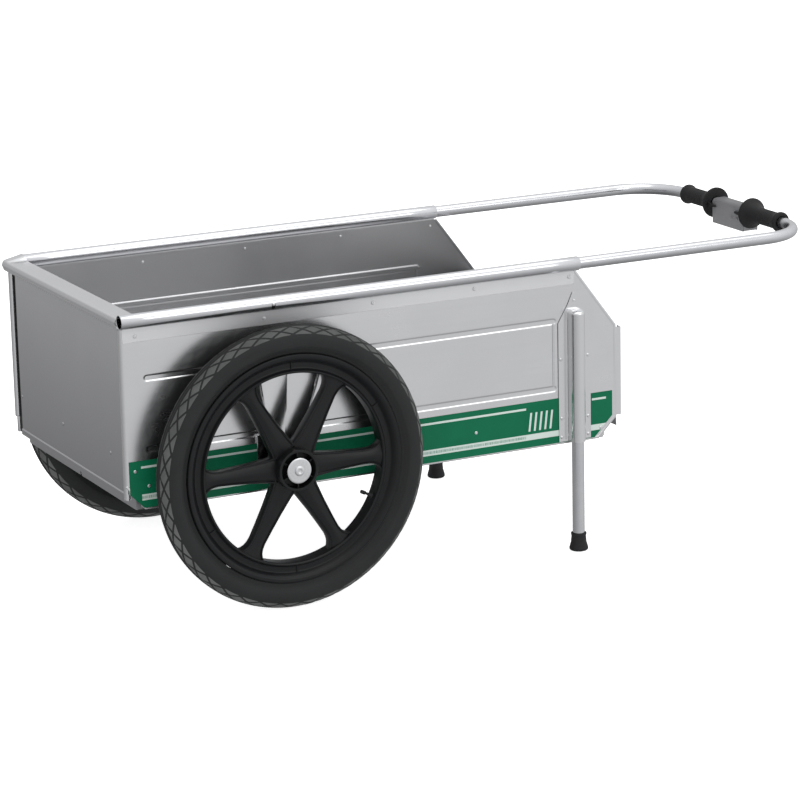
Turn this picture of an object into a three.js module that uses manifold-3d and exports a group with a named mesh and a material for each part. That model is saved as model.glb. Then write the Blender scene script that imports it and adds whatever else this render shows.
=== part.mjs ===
// Folding garden cart: two aluminium side panels on spoked wheels, a bed in two leaves that folds up
// like a book, lift-out gates, retractable legs and a two-part tubular handle.
// Millimetres, +Z up, +X from the front gate towards the handle, near side at -Y.
import * as THREE from 'three';
import { mergeVertices } from 'three/addons/utils/BufferGeometryUtils.js';
import { ConvexGeometry } from 'three/addons/geometries/ConvexGeometry.js';
import Module from 'manifold-3d';

const wasm = await Module();
wasm.setup();

// Driving dimensions. X is measured from the axle, Y from the centre plane, Z from the ground.
const gap = 0.3; // clearance between pieces that touch
const sheet = 1.5; // aluminium sheet
const wheelRadius = 256;
const tyreHalfWidth = 26;
const wheelPlaneY = 326; // middle plane of a tyre
const hubOuterY = 361; // outer face of the axle bolt
const railY = 284;
const railZ = 544;
const sleeveRadius = 13;
const sleeveBore = 11.75;
const tubeRadius = 11.1;
const tubeWall = 1.5;
const panelOuterY = 276.5;
const panelBottomZ = 204.7;
const panelTopZ = railZ - sleeveRadius - gap;
const frontX = -299; // front face of the gate cap
const nearPanelFrontX = -295;
const farPanelFrontX = -271;
const farSleeveFrontX = -257;
const sleeveRearX = 603.6;
const panelRearX = 688.5;
const panelShoulderZ = 417.5;
const legX = 599;
const legY = 289;
const legRadius = 11.5;
const legTopZ = 310;
const footHeight = 34;
const legTravelTopZ = 452;
const crossbarX = 1119;
const bendRadius = 108;
const flangeRadius = 30;
const gripInnerY = 63;
const gripOuterY = 172;
const bedTopZ = 222;
const bedFrontX = -270.5;
const bedRearX = 668;
const sideHingeY = 266;
const centreHingeZ = 200;
const bushRadius = 10.5;
const buttonZ = 275;
const stopScrewX = -12;
const handleFrontX = -60;
const tubeTipY = 4;
const knuckleCount = 5;
const knuckleLength = (bedRearX - bedFrontX - 8) / knuckleCount;
const overallCentreX = (frontX + crossbarX + flangeRadius) / 2;

const finishes = {
  aluminium: { color: 0xc9cbcd, roughness: 0.3, metalness: 1 },
  steel: { color: 0xb4b6b9, roughness: 0.35, metalness: 1 },
  tube: { color: 0xd4d5d8, roughness: 0.2, metalness: 1 },
  rubber: { color: 0x1c1c1d, roughness: 0.85, metalness: 0 },
  blackPlastic: { color: 0x222224, roughness: 0.5, metalness: 0 },
  greyPlastic: { color: 0x77797b, roughness: 0.5, metalness: 0 },
  green: { color: 0x16734b, roughness: 0.45, metalness: 0 },
};
const materials = {};
for (const [finish, look] of Object.entries(finishes)) materials[finish] = new THREE.MeshStandardMaterial(look);

const cart = new THREE.Group();
const body = new THREE.Group();
body.position.x = -overallCentreX;
cart.add(body);

// A closed geometry as a solid: shared vertices merged, slivers on the axis dropped, faces turned outwards.
function solidFrom(geometry) {
  const bare = geometry.clone();
  bare.deleteAttribute('normal');
  bare.deleteAttribute('uv');
  const merged = mergeVertices(bare, 1e-4);
  const index = merged.index.array;
  const corners = [new THREE.Vector3(), new THREE.Vector3(), new THREE.Vector3()];
  const triangles = [];
  let volume = 0;
  for (let i = 0; i < index.length; i += 3) {
    const [a, b, c] = [index[i], index[i + 1], index[i + 2]];
    if (a === b || b === c || a === c) continue;
    [a, b, c].forEach((vertex, n) => corners[n].fromBufferAttribute(merged.attributes.position, vertex));
    volume += corners[0].dot(corners[1].cross(corners[2]));
    triangles.push([a, b, c]);
  }
  if (volume < 0) triangles.forEach((triangle) => triangle.reverse());
  return new wasm.Manifold(new wasm.Mesh({
    numProp: 3,
    vertProperties: new Float32Array(merged.attributes.position.array),
    triVerts: new Uint32Array(triangles.flat()),
  }));
}

function geometryFrom(solid) {
  const mesh = solid.getMesh();
  const geometry = new THREE.BufferGeometry();
  geometry.setAttribute('position', new THREE.BufferAttribute(mesh.vertProperties, 3));
  geometry.setIndex(new THREE.BufferAttribute(mesh.triVerts, 1));
  geometry.computeVertexNormals();
  return geometry;
}

function block([x0, x1], [y0, y1], [z0, z1]) {
  const box = new THREE.BoxGeometry(x1 - x0, y1 - y0, z1 - z0);
  return solidFrom(box.translate((x0 + x1) / 2, (y0 + y1) / 2, (z0 + z1) / 2));
}

// Turns a shape drawn around the +Y axis to stand along another axis through the given centre.
function turnTo(geometry, axis, [x, y, z]) {
  if (axis === 'x') geometry.rotateZ(-Math.PI / 2);
  if (axis === 'z') geometry.rotateX(Math.PI / 2);
  return geometry.translate(x, y, z);
}

// profile: [radius, distance along the axis] points of a closed section
function turned(axis, profile, centre = [0, 0, 0], sides = 16) {
  const closed = [...profile, profile[0]].map(([radius, along]) => new THREE.Vector2(radius, along));
  return solidFrom(turnTo(new THREE.LatheGeometry(closed, sides), axis, centre));
}

function rod(axis, radius, from, to, centre = [0, 0, 0], sides = 16) {
  return turned(axis, [[0, from], [radius, from], [radius, to], [0, to]], centre, sides);
}

function ring(axis, outer, inner, from, to, centre = [0, 0, 0], sides = 16) {
  return turned(axis, [[inner, from], [outer, from], [outer, to], [inner, to]], centre, sides);
}

// points: [x, z] corners of a plate that lies between two Y values
function plate(points, [y0, y1]) {
  const outline = new THREE.Shape(points.map(([x, z]) => new THREE.Vector2(x, z)));
  const geometry = new THREE.ExtrudeGeometry(outline, { depth: y1 - y0, bevelEnabled: false });
  const basis = new THREE.Matrix4().makeBasis(
    new THREE.Vector3(1, 0, 0), new THREE.Vector3(0, 0, 1), new THREE.Vector3(0, -1, 0));
  return solidFrom(geometry.applyMatrix4(basis).translate(0, y1, 0));
}

const join = (first, ...rest) => rest.reduce((sum, solid) => sum.add(solid), first);
const cut = (first, ...rest) => rest.reduce((sum, solid) => sum.subtract(solid), first);

function piece(group, name, solid, finish) {
  const mesh = new THREE.Mesh(geometryFrom(solid), materials[finish]);
  mesh.name = name;
  group.add(mesh);
}

// ---- one side: panel, rolled rail, brackets, stub axle and the fixed leaf of the bed hinge ----

function sidePanel(side) {
  const inner = -panelOuterY + sheet;
  const chamferX = 35;
  const chamferZ = 45;
  const rearChamfer = 37;
  const outline = [
    [side.panelFrontX, panelTopZ], [side.panelFrontX, panelBottomZ + chamferZ],
    [side.panelFrontX + chamferX, panelBottomZ], [panelRearX - rearChamfer, panelBottomZ],
    [panelRearX, panelBottomZ + rearChamfer], [panelRearX, panelShoulderZ], [sleeveRearX, panelTopZ],
  ];
  let solid = plate(outline, [-panelOuterY, inner]);
  if (side.hasGateFlange) {
    const flangeWidth = 13;
    const flange = block(
      [side.panelFrontX, side.panelFrontX + sheet], [inner - 0.5, inner + flangeWidth],
      [panelBottomZ + chamferZ, panelTopZ - 3]);
    solid = join(solid, flange);
  }
  return cut(solid, rod('y', 8.5, -panelOuterY - 1, inner + 1, [0, 0, wheelRadius]));
}

// Tube-shaped rail with a riveted skirt over the panel, and a quarter slot for the handle's stop screw.
function railSleeve(side) {
  const axis = [0, -railY, railZ];
  const skirtBottomZ = 505;
  const skirtOuter = -panelOuterY - gap - sheet;
  const tube = rod('x', sleeveRadius, side.sleeveFrontX, sleeveRearX, axis);
  const skirt = block(
    [side.sleeveFrontX + 7, sleeveRearX - 4], [skirtOuter, skirtOuter + sheet], [skirtBottomZ, railZ - 9]);
  const bore = rod('x', sleeveBore, side.sleeveFrontX - 1, sleeveRearX + 1, axis);
  const slot = block(
    [stopScrewX - 3.5, stopScrewX + 3.5], [-railY - 15, -railY + 3], [railZ - 15, railZ + 3]);
  return cut(join(tube, skirt), bore, slot);
}

// Pressed fan that spreads the wheel load over the panel, open towards the panel and leaning a little
// rearwards; a small strap reaches forward from its foot.
function axleBracket() {
  const back = -panelOuterY - 3 * gap;
  const fan = (inset, depth) => new ConvexGeometry([
    [-55 + inset, 179 - inset, 0], [95 - inset, 179 - inset, 0], [-55 + inset, 165, 0], [95 - inset, 165, 0],
    [-26 + inset, -34 + inset, 0], [36 - inset, -34 + inset, 0],
    [-16 + inset, 12, depth], [24 - inset, 12, depth], [-16 + inset, -16 + inset, depth],
    [24 - inset, -16 + inset, depth], [20, 150 - inset, depth - 5],
  ].map(([x, z, out]) => new THREE.Vector3(x, back - out, z)));
  const shell = cut(solidFrom(fan(0, 13)), solidFrom(fan(2.5, 11).translate(0, 0.5, 0)));
  const strap = block([-45, -20], [back - sheet, back], [0, 53]);
  const inside = solidFrom(fan(1, 12).translate(0, 0.2, 0));
  return cut(join(shell, cut(strap, inside)), rod('y', 8.5, back - 20, back + 1));
}

function axleStub() {
  const head = -panelOuterY + sheet + gap;
  return turned('y', [
    [0, head + 4], [13, head + 4], [13, head], [8, head], [8, -hubOuterY + 5], [4.4, -hubOuterY + 5],
    [4.4, -hubOuterY + 32], [0, -hubOuterY + 32],
  ]);
}

// Plate with a half-round channel that guides the leg; the channel is closed at the top.
function legBracket() {
  const back = -panelOuterY - 3 * gap;
  const halfWidth = 33.5;
  const channelRadius = 14;
  const bore = 12.15;
  const outline = [
    [legX - halfWidth, panelBottomZ + 5], [legX + halfWidth, panelBottomZ + 5], [legX + halfWidth, 434],
    [legX + 6, 489], [legX - 6, 489], [legX - halfWidth, 434],
  ];
  const channel = join(
    rod('z', channelRadius, panelBottomZ + 5, legTravelTopZ, [legX, -legY, 0]),
    block([legX - channelRadius, legX + channelRadius], [-legY, back], [panelBottomZ + 5, legTravelTopZ]));
  const room = join(
    rod('z', bore, panelBottomZ, legTravelTopZ - 2, [legX, -legY, 0]),
    block([legX - bore, legX + bore], [-legY, back + 1], [panelBottomZ, legTravelTopZ - 2]));
  const buttonHole = rod('y', 5.5, -legY - 20, -legY - 5, [legX, 0, buttonZ]);
  const behind = block([legX - 40, legX + 40], [back, back + 20], [panelBottomZ, legTravelTopZ + 1]);
  return cut(join(plate(outline, [back - sheet, back]), channel), room, buttonHole, behind);
}

// Hinge knuckles along X; parity 0 takes the first, third and fifth place, parity 1 the others.
function knuckles(y, z, radius, bore, parity, tabFor) {
  const solids = [];
  for (let n = parity; n < knuckleCount; n += 2) {
    const from = bedFrontX + 4 + n * knuckleLength + 0.5;
    const to = from + knuckleLength - 1;
    const barrel = join(rod('x', radius, from, to, [0, y, z], 12), tabFor(from, to));
    solids.push(cut(barrel, rod('x', bore, from - 1, to + 1, [0, y, z], 12)));
  }
  return solids;
}

function hingeLeaf() {
  const face = -panelOuterY + sheet + gap;
  const leaf = block([bedFrontX + 4.5, bedRearX - 4.5], [face, face + sheet], [208, 226]);
  const arm = (from, to) => block([from, to], [face + 1, -sideHingeY], [bedTopZ + 1, bedTopZ + 3.5]);
  return join(leaf, ...knuckles(-sideHingeY, bedTopZ, 4.5, 2.9, 0, arm));
}

function label(side) {
  const [bandFrontX, bandRearX] = [side.panelFrontX + 8, panelRearX - 9];
  const [bandBottomZ, bandTopZ] = [208, 293];
  const [frontCorner, rearCorner] = [26, 38];
  const outline = [
    [bandFrontX, bandTopZ], [bandFrontX, bandBottomZ + frontCorner], [bandFrontX + frontCorner, bandBottomZ],
    [bandRearX - rearCorner, bandBottomZ], [bandRearX, bandBottomZ + rearCorner], [bandRearX, bandTopZ],
  ];
  const back = -panelOuterY - gap;
  return cut(plate(outline, [back - gap, back]), rod('y', 8.5, back - 1, back + 1, [0, 0, wheelRadius]));
}

// ---- wheel, drawn around its own centre ----

function tyre() {
  const half = [[199, 14.3], [207.6, 14.3], [212, 22.5], [230, tyreHalfWidth], [247, 20], [wheelRadius, 7]];
  const hollow = [[250, 5], [230, 20.5], [211, 9], [199, 9]];
  const mirrored = (points) => points.map(([radius, along]) => [radius, -along]).reverse();
  return turned('y', [...half, ...mirrored(half), ...mirrored(hollow), ...hollow], [0, 0, 0], 28);
}

function spoke(degrees) {
  const angle = THREE.MathUtils.degToRad(degrees);
  const at = (radius, across) => [
    radius * Math.sin(angle) + across * Math.cos(angle), radius * Math.cos(angle) - across * Math.sin(angle)];
  const tip = 169.8;
  return plate([at(25, 25), at(120, 14), at(tip, 13), at(tip, -13), at(120, -14), at(25, -25)], [-10, 10]);
}

// The one-piece rim is kept as two solids, hoop and spider, so that its windows stay open.
function rimHoop() {
  const half = [[172, 17], [200, 19], [207, 19], [207, 15.5], [198, 15]];
  return turned('y', [...half, ...half.map(([r, y]) => [r, -y]).reverse()], [0, 0, 0], 28);
}

function rimSpider() {
  const hub = rod('y', 37.5, -30, 30);
  const spokes = [30, 90, 150, 210, 270, 330].map(spoke);
  return cut(join(hub, ...spokes), rod('y', bushRadius + gap, -31, 31));
}

function bush(towardsHub) {
  const profile = [[8.3, 33.5], [15, 33.5], [15, 30.4], [bushRadius, 30.4], [bushRadius, 14], [8.3, 14]];
  return turned('y', profile.map(([radius, along]) => [radius, along * towardsHub]));
}

function valveStem() {
  const valveAngle = 116;
  const stem = turned('z', [[0, 149], [3, 149], [3.6, 158], [3, 159], [3, 164], [4.5, 170.3], [0, 170.3]],
    [0, 0, 0], 12);
  return stem.rotate([0, valveAngle, 0]);
}

function addWheel(side, group) {
  const wheel = new THREE.Group();
  wheel.position.set(0, -wheelPlaneY, wheelRadius);
  group.add(wheel);
  const outer = -(hubOuterY - wheelPlaneY);
  piece(wheel, `${side.name}_tyre`, tyre(), 'rubber');
  piece(wheel, `${side.name}_rim_hoop`, rimHoop(), 'blackPlastic');
  piece(wheel, `${side.name}_rim_spider`, rimSpider(), 'blackPlastic');
  piece(wheel, `${side.name}_valve_stem`, valveStem(), 'rubber');
  piece(wheel, `${side.name}_bush_inner`, bush(1), 'greyPlastic');
  const webClearance = block([-20, 20], [-40, -30 + gap], [-20, 20]);
  piece(wheel, `${side.name}_bush_outer`, cut(bush(-1), webClearance), 'greyPlastic');
  piece(wheel, `${side.name}_hub_washer`, ring('y', 23, 4.4, outer + 2.7, outer + 4.6), 'steel');
  const bolt = join(rod('y', 9, outer, outer + 2.4), rod('y', 4, outer + 2, outer + 25));
  piece(wheel, `${side.name}_axle_bolt`, bolt, 'steel');
}

// ---- leg with its rubber foot and spring button ----

function legTube() {
  const solid = ring('z', legRadius, legRadius - tubeWall, 18 + gap, legTopZ, [legX, -legY, 0]);
  return cut(solid, rod('y', 4.2, -legY - 15, -legY, [legX, 0, buttonZ]));
}

function foot() {
  return turned('z', [
    [0, 0], [16, 0], [17.8, 3], [14, 20], [13.5, footHeight], [legRadius + gap, footHeight],
    [legRadius + gap, 18], [0, 18],
  ], [legX, -legY, 0]);
}

function legButton() {
  const profile = [[0, 4], [5, 4], [5, 6.5], [3.8, 6.5], [3.8, 10.5], [2.8, 11.4], [0, 11.4]];
  return turned('y', profile.map(([radius, along]) => [radius, -along]), [legX, -legY, buttonZ], 16);
}

// ---- handle half: rail tube, bend and half of the crossbar ----

function bentTube(radius, overrun) {
  const corner = new THREE.EllipseCurve(
    crossbarX - bendRadius, -railY + bendRadius, bendRadius, bendRadius, -Math.PI / 2, 0);
  const path = new THREE.CurvePath();
  const points = corner.getPoints(8).map((point) => new THREE.Vector3(point.x, point.y, railZ));
  path.add(new THREE.CatmullRomCurve3(points));
  const section = new THREE.Shape().absarc(0, 0, radius, 0, 2 * Math.PI);
  const bend = new THREE.ExtrudeGeometry(section, { steps: 8, curveSegments: 8, extrudePath: path });
  const along = rod('x', radius, handleFrontX - overrun, crossbarX - bendRadius + 0.2, [0, -railY, railZ], 16);
  const across = rod(
    'y', radius, -railY + bendRadius - 0.2, -tubeTipY + overrun, [crossbarX, 0, railZ], 16);
  return join(solidFrom(bend), along, across);
}

function handleTube() {
  const hole = rod('y', 2.3, -railY - 20, -railY, [stopScrewX, 0, railZ], 12);
  return cut(bentTube(tubeRadius, 0), bentTube(tubeRadius - tubeWall, 2), hole);
}

function stopScrew() {
  const profile = [[0, 8], [2, 8], [2, 11.3], [2.8, 11.5], [2.4, 14], [0, 14]];
  return turned('y', profile.map(([radius, along]) => [radius, -along]), [stopScrewX, -railY, railZ], 12);
}

function grip() {
  const bore = tubeRadius + gap;
  return turned('y', [
    [bore, gripOuterY], [18, gripOuterY], [19.5, gripOuterY - 4], [15.5, gripOuterY - 14], [15.5, 86],
    [24, 72], [flangeRadius, 68.5], [flangeRadius, gripInnerY], [bore, gripInnerY],
  ].map(([radius, along]) => [radius, -along]), [crossbarX, 0, railZ]);
}

// Inverted channel fixed on the near half, which drops over the bare end of the far half.
function handleBracket() {
  const end = gripInnerY - 1.5;
  const farEnd = 50;
  const bottom = railZ - 36;
  const outside = block([crossbarX - 18, crossbarX + 18], [-end, farEnd], [bottom, railZ + 13.5]);
  const inside = block([crossbarX - 15, crossbarX + 15], [-end - 1, farEnd + 1], [bottom - 1, railZ + 11.5]);
  const web = block([crossbarX - 17, crossbarX + 17], [-end, -end + 4], [bottom + 1, railZ + 12.5]);
  const tubeRoom = rod('y', tubeRadius + gap, -end - 1, -end + 6, [crossbarX, 0, railZ], 16);
  return join(cut(outside, inside), cut(web, tubeRoom));
}

// ---- bed leaves ----

function bedLeaf(centreParity) {
  const inner = -4.8;
  const outer = -261;
  const bottom = 201.5;
  const pan = cut(
    block([bedFrontX, bedRearX], [outer, inner], [bottom, bedTopZ]),
    block([bedFrontX + sheet, bedRearX - sheet], [outer + sheet, inner - sheet], [bottom - 1, bedTopZ - sheet]));
  const sideTab = (from, to) => block([from, to], [-sideHingeY + 3, outer + 1], [bedTopZ - 3, bedTopZ]);
  const centreTab = (from, to) => block([from, to], [inner - 1.2, -2], [centreHingeZ, bottom + 2.5]);
  return join(
    pan, ...knuckles(-sideHingeY, bedTopZ, 4.5, 2.9, 1, sideTab),
    ...knuckles(0, centreHingeZ, 4, 2.4, centreParity, centreTab));
}

// ---- gates ----

function frontGatePanel() {
  const inset = 14;
  return join(
    block([-286.5, -285], [-270 + inset, 276.5 - inset], [bedTopZ, 528]),
    block([-289, -285], [-270 + inset, 276.5 - inset], [bedTopZ, bedTopZ + 10]));
}

// Channel along one upright edge of the front gate.
function gateStile(from, to) {
  const outer = block([-293, -273], [from, to], [bedTopZ, 528]);
  const room = from < 0 ? [from + sheet, to + 1] : [from - 1, to - sheet];
  return cut(outer, block([-291.5, -274.5], room, [bedTopZ - 1, 529]));
}

// Rolled cap over the gate: flat face forward, rounded nose, and a far end that covers the far rail's mouth.
function frontGateCap() {
  const profile = [
    [frontX + 5, 531], [frontX, 534], [frontX, 545], [frontX + 5, 549], [-259, 549], [-259, 547.5],
    [frontX + 6, 547.5], [frontX + 1.5, 544], [frontX + 1.5, 535], [frontX + 6, 532.5], [-277, 532.5],
    [-277, 531],
  ];
  const end = [
    [frontX + 5, 531], [frontX, 534], [frontX, 545], [frontX + 5, 549], [-259, 549], [-259, 531]];
  return join(plate(profile, [-270.4, 297]), plate(end, [265, 297]));
}

function rearGatePanel() {
  return join(
    block([691, 692.5], [-268, 269], [bedTopZ, 410]),
    block([690, 695], [-268, 269], [bedTopZ, bedTopZ + 8]));
}

function rearGateCap() {
  const outer = block([689.6, 696], [-258, 269], [403, 415]);
  return cut(outer, block([690.5, 693], [-259, 270], [402, 410.5]));
}

function rearGateKeeper() {
  const face = -panelOuterY + sheet + gap;
  const [bottom, top] = [244, 412];
  return join(
    block([672, 700], [face, face + sheet], [bottom, top]),
    block([686.8, 688.3], [face + 1, face + 12], [bottom, top]),
    block([698.5, 700], [face + 1, face + 12], [bottom, top]));
}

// ---- assembly ----

const sides = [
  { name: 'near', panelFrontX: nearPanelFrontX, sleeveFrontX: frontX + 2, hasGateFlange: true, parity: 0 },
  { name: 'far', panelFrontX: farPanelFrontX, sleeveFrontX: farSleeveFrontX, hasGateFlange: false, parity: 1 },
];

for (const side of sides) {
  const group = new THREE.Group();
  if (side.name === 'far') group.scale.y = -1;
  body.add(group);
  piece(group, `${side.name}_side_panel`, sidePanel(side), 'aluminium');
  piece(group, `${side.name}_rail_sleeve`, railSleeve(side), 'aluminium');
  piece(group, `${side.name}_label`, label(side), 'green');
  const axle = new THREE.Group();
  axle.position.z = wheelRadius;
  group.add(axle);
  piece(axle, `${side.name}_axle_bracket`, axleBracket(), 'aluminium');
  piece(axle, `${side.name}_axle_stub`, axleStub(), 'steel');
  piece(group, `${side.name}_leg_bracket`, legBracket(), 'aluminium');
  piece(group, `${side.name}_hinge_leaf`, hingeLeaf(), 'aluminium');
  const pin = rod('x', 2.5, bedFrontX + 3, bedRearX - 3, [0, -sideHingeY, bedTopZ], 12);
  piece(group, `${side.name}_hinge_pin`, pin, 'steel');
  addWheel(side, group);
  piece(group, `${side.name}_leg_tube`, legTube(), 'tube');
  piece(group, `${side.name}_leg_foot`, foot(), 'rubber');
  piece(group, `${side.name}_leg_button`, legButton(), 'steel');
  piece(group, `${side.name}_handle_tube`, handleTube(), 'tube');
  piece(group, `${side.name}_stop_screw`, stopScrew(), 'steel');
  piece(group, `${side.name}_grip`, grip(), 'rubber');
  piece(group, `bed_${side.name}`, bedLeaf(side.parity), 'aluminium');
}
piece(body, 'centre_hinge_pin', rod('x', 2, bedFrontX + 3, bedRearX - 3, [0, 0, centreHingeZ], 12), 'steel');
piece(body, 'handle_bracket', handleBracket(), 'greyPlastic');
piece(body, 'front_gate_panel', frontGatePanel(), 'aluminium');
piece(body, 'front_gate_cap', frontGateCap(), 'aluminium');
piece(body, 'front_gate_near_stile', gateStile(-270, -256.3), 'aluminium');
piece(body, 'front_gate_far_stile', gateStile(262.8, 276.5), 'aluminium');
piece(body, 'rear_gate_panel', rearGatePanel(), 'aluminium');
piece(body, 'rear_gate_cap', rearGateCap(), 'aluminium');
piece(body, 'rear_gate_keeper', rearGateKeeper(), 'aluminium');

export default cart;
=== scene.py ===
# Folding garden cart, dressed over its CAD frame: sheet aluminium body, black wheels, tubular push handle.
import math

import bmesh
import bpy
from mathutils import Matrix, Vector, noise


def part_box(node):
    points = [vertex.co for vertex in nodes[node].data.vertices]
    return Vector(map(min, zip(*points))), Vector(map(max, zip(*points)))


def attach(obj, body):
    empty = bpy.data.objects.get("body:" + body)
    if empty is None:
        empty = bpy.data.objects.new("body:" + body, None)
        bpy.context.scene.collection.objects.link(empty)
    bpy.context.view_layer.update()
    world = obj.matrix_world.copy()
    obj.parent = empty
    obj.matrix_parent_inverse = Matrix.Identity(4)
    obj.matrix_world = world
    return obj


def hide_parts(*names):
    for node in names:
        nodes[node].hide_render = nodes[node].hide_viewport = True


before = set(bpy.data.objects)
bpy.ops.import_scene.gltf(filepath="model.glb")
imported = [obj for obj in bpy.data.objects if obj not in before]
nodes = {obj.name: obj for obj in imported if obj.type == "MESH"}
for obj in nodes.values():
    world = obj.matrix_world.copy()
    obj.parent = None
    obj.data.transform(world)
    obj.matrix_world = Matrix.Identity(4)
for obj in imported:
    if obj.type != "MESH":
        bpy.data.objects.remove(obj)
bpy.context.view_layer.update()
print("frame loaded:", len(nodes), "nodes")


def mm(value):
    return value / 1000


def middle(node):
    low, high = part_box(node)
    return (Vector(low) + Vector(high)) / 2


sides = {"near": -1, "far": 1}  # sign of Y on each side

# places taken from the frame, in metres

wheelMid = middle("near_tyre")
axleX, axleZ, tyreY = wheelMid.x, wheelMid.z, abs(wheelMid.y)
sleeveLow, sleeveHigh = (Vector(corner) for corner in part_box("near_rail_sleeve"))
railRadius = (sleeveHigh.y - sleeveLow.y) / 2
railY = abs(sleeveLow.y + sleeveHigh.y) / 2
railZ = sleeveHigh.z - railRadius
panelOut = abs(Vector(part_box("near_side_panel")[0]).y)
legMid = middle("near_leg_tube")
legX, legY = legMid.x, abs(legMid.y)
gripMid = middle("near_grip")
crossbarX = gripMid.x

wheelSettings = {
    "sectionRadius": 26, "sectionCentre": 230, "diamonds": 38, "treadDepth": 1.5, "tread": (17, 58),
    "spokeAngles": (30, 90, 150, 210, 270, 330), "valveAngle": 116,
}

# shader wiring


class Wire:
    # A socket that takes part in ordinary sums.
    def __init__(self, look, socket):
        self.look = look
        self.socket = socket

    def __add__(self, other):
        return self.look.maths("ADD", self, other)

    def __radd__(self, other):
        return self.look.maths("ADD", other, self)

    def __sub__(self, other):
        return self.look.maths("SUBTRACT", self, other)

    def __rsub__(self, other):
        return self.look.maths("SUBTRACT", other, self)

    def __mul__(self, other):
        return self.look.maths("MULTIPLY", self, other)

    def __rmul__(self, other):
        return self.look.maths("MULTIPLY", other, self)

    def __truediv__(self, other):
        return self.look.maths("DIVIDE", self, other)

    def __gt__(self, other):
        return self.look.maths("GREATER_THAN", self, other)

    def __lt__(self, other):
        return self.look.maths("LESS_THAN", self, other)


class Look:
    # One material: a Principled shader and whatever is wired into it.
    def __init__(self, name, **constants):
        self.material = bpy.data.materials.new(name)
        self.material.use_nodes = True
        self.tree = self.material.node_tree
        self.shader = self.tree.nodes["Principled BSDF"]
        for socket, value in constants.items():
            self.shader.inputs[socket.replace("_", " ")].default_value = value

    def feed(self, socket, value):
        if isinstance(value, Wire):
            self.tree.links.new(value.socket, socket)
        else:
            socket.default_value = value

    def node(self, kind, settings=None, inputs=None, output=0):
        made = self.tree.nodes.new(kind)
        for key, value in (settings or {}).items():
            if key == "stops":
                ramp = made.color_ramp
                while len(ramp.elements) < len(value):
                    ramp.elements.new(0.5)
                for element, (place, shade) in zip(ramp.elements, value):
                    element.position = place
                    element.color = shade
            else:
                setattr(made, key, value)
        for key, value in (inputs or {}).items():
            self.feed(made.inputs[key], value)
        return Wire(self, made.outputs[output])

    def maths(self, operation, *values):
        return self.node("ShaderNodeMath", {"operation": operation}, dict(enumerate(values)))

    def place(self):
        return self.node("ShaderNodeTexCoord", output="Object")

    def stretched(self, scale):
        return self.node("ShaderNodeMapping", {}, {"Vector": self.place(), "Scale": scale})

    def grain(self, scale, size=(1, 1, 1), detail=3, distortion=0):
        vector = self.stretched(size)
        return self.node("ShaderNodeTexNoise", {}, {
            "Vector": vector, "Scale": scale, "Detail": detail, "Distortion": distortion})

    def blend(self, factor, first, second):
        made = self.tree.nodes.new("ShaderNodeMix")
        made.data_type = "RGBA"
        self.feed(made.inputs[0], factor)
        self.feed(made.inputs[6], first)
        self.feed(made.inputs[7], second)
        return Wire(self, made.outputs[2])

    def axes(self):
        made = self.tree.nodes.new("ShaderNodeSeparateXYZ")
        self.tree.links.new(self.place().socket, made.inputs[0])
        return [Wire(self, socket) for socket in made.outputs]

    def band(self, value, low, high):
        return (value > low) * (value < high)

    def colour(self, value):
        self.feed(self.shader.inputs["Base Color"], value)

    def rough(self, value):
        self.feed(self.shader.inputs["Roughness"], value)

    def bump(self, height, strength, distance):
        bumped = self.node("ShaderNodeBump", {}, {
            "Height": height, "Strength": strength, "Distance": distance})
        self.feed(self.shader.inputs["Normal"], bumped)


# finishes


def rolledSheet(name, tint, roughness, streak, dirt=0.06, inside=None, low=None, metallic=1.0):
    # Mill-finish aluminium: faint rolling lines, cloudy handling marks, a little dullness in patches.
    # The inside of a panel is painted darker than the outside, more so towards the handle end: painted shade
    # of the box's inside.
    look = Look(name, Metallic=metallic)
    lines = look.grain(160, streak, 4)
    clouds = look.grain(7, (1, 1, 1), 4, 0.6)
    specks = look.grain(900, (1, 1, 1), 2)
    dull = [channel * (1 - dirt * 2.2) for channel in tint[:3]] + [1]
    shade = look.blend(clouds * 0.7 + lines * 0.3, dull, tint)
    rough = roughness + (clouds - 0.5) * 0.1 + (lines - 0.5) * 0.06
    # painted shade: with low, the colour darkens towards the bottom, fully below the low height
    if low:
        bottom, top, dark = low
        height = look.node("ShaderNodeMapRange", {}, {0: look.axes()[2], 1: bottom, 2: top, 3: 1.0, 4: 0.0})
        shade = look.blend(height, shade, [channel * dark for channel in tint[:3]] + [1])
    # painted shade: inward faces darkened from front to rear, towards the handle end
    if inside:
        x, y = look.axes()[:2]
        normal = look.node("ShaderNodeTexCoord", output="Normal")
        facing = look.node("ShaderNodeSeparateXYZ", {}, {0: normal}, 1)
        inward = facing * y < 0.0
        back = look.node("ShaderNodeMapRange", {}, {0: x, 1: inside["from"], 2: inside["to"], 3: 0.0, 4: 1.0})
        front, rear = ([channel * inside[end] for channel in tint[:3]] + [1] for end in ("front", "rear"))
        shade = look.blend(inward, shade, look.blend(back, front, rear))
        rough = rough + inward * 0.1
    look.colour(shade)
    look.rough(rough)
    look.bump(lines * 0.6 + specks * 0.4, 0.05, mm(0.1))
    return look.material


def drawnTube(name, tint, roughness):
    look = Look(name, Metallic=1.0)
    streaks = look.grain(260, (0.05, 1, 1), 4)
    scuffs = look.grain(30, (1, 1, 1), 5, 1.0)
    worn = [channel * 0.86 for channel in tint[:3]] + [1]
    look.colour(look.blend(scuffs, worn, tint))
    look.rough(roughness + (scuffs - 0.5) * 0.14 + (streaks - 0.5) * 0.05)
    look.bump(streaks, 0.06, mm(0.1))
    return look.material


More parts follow.
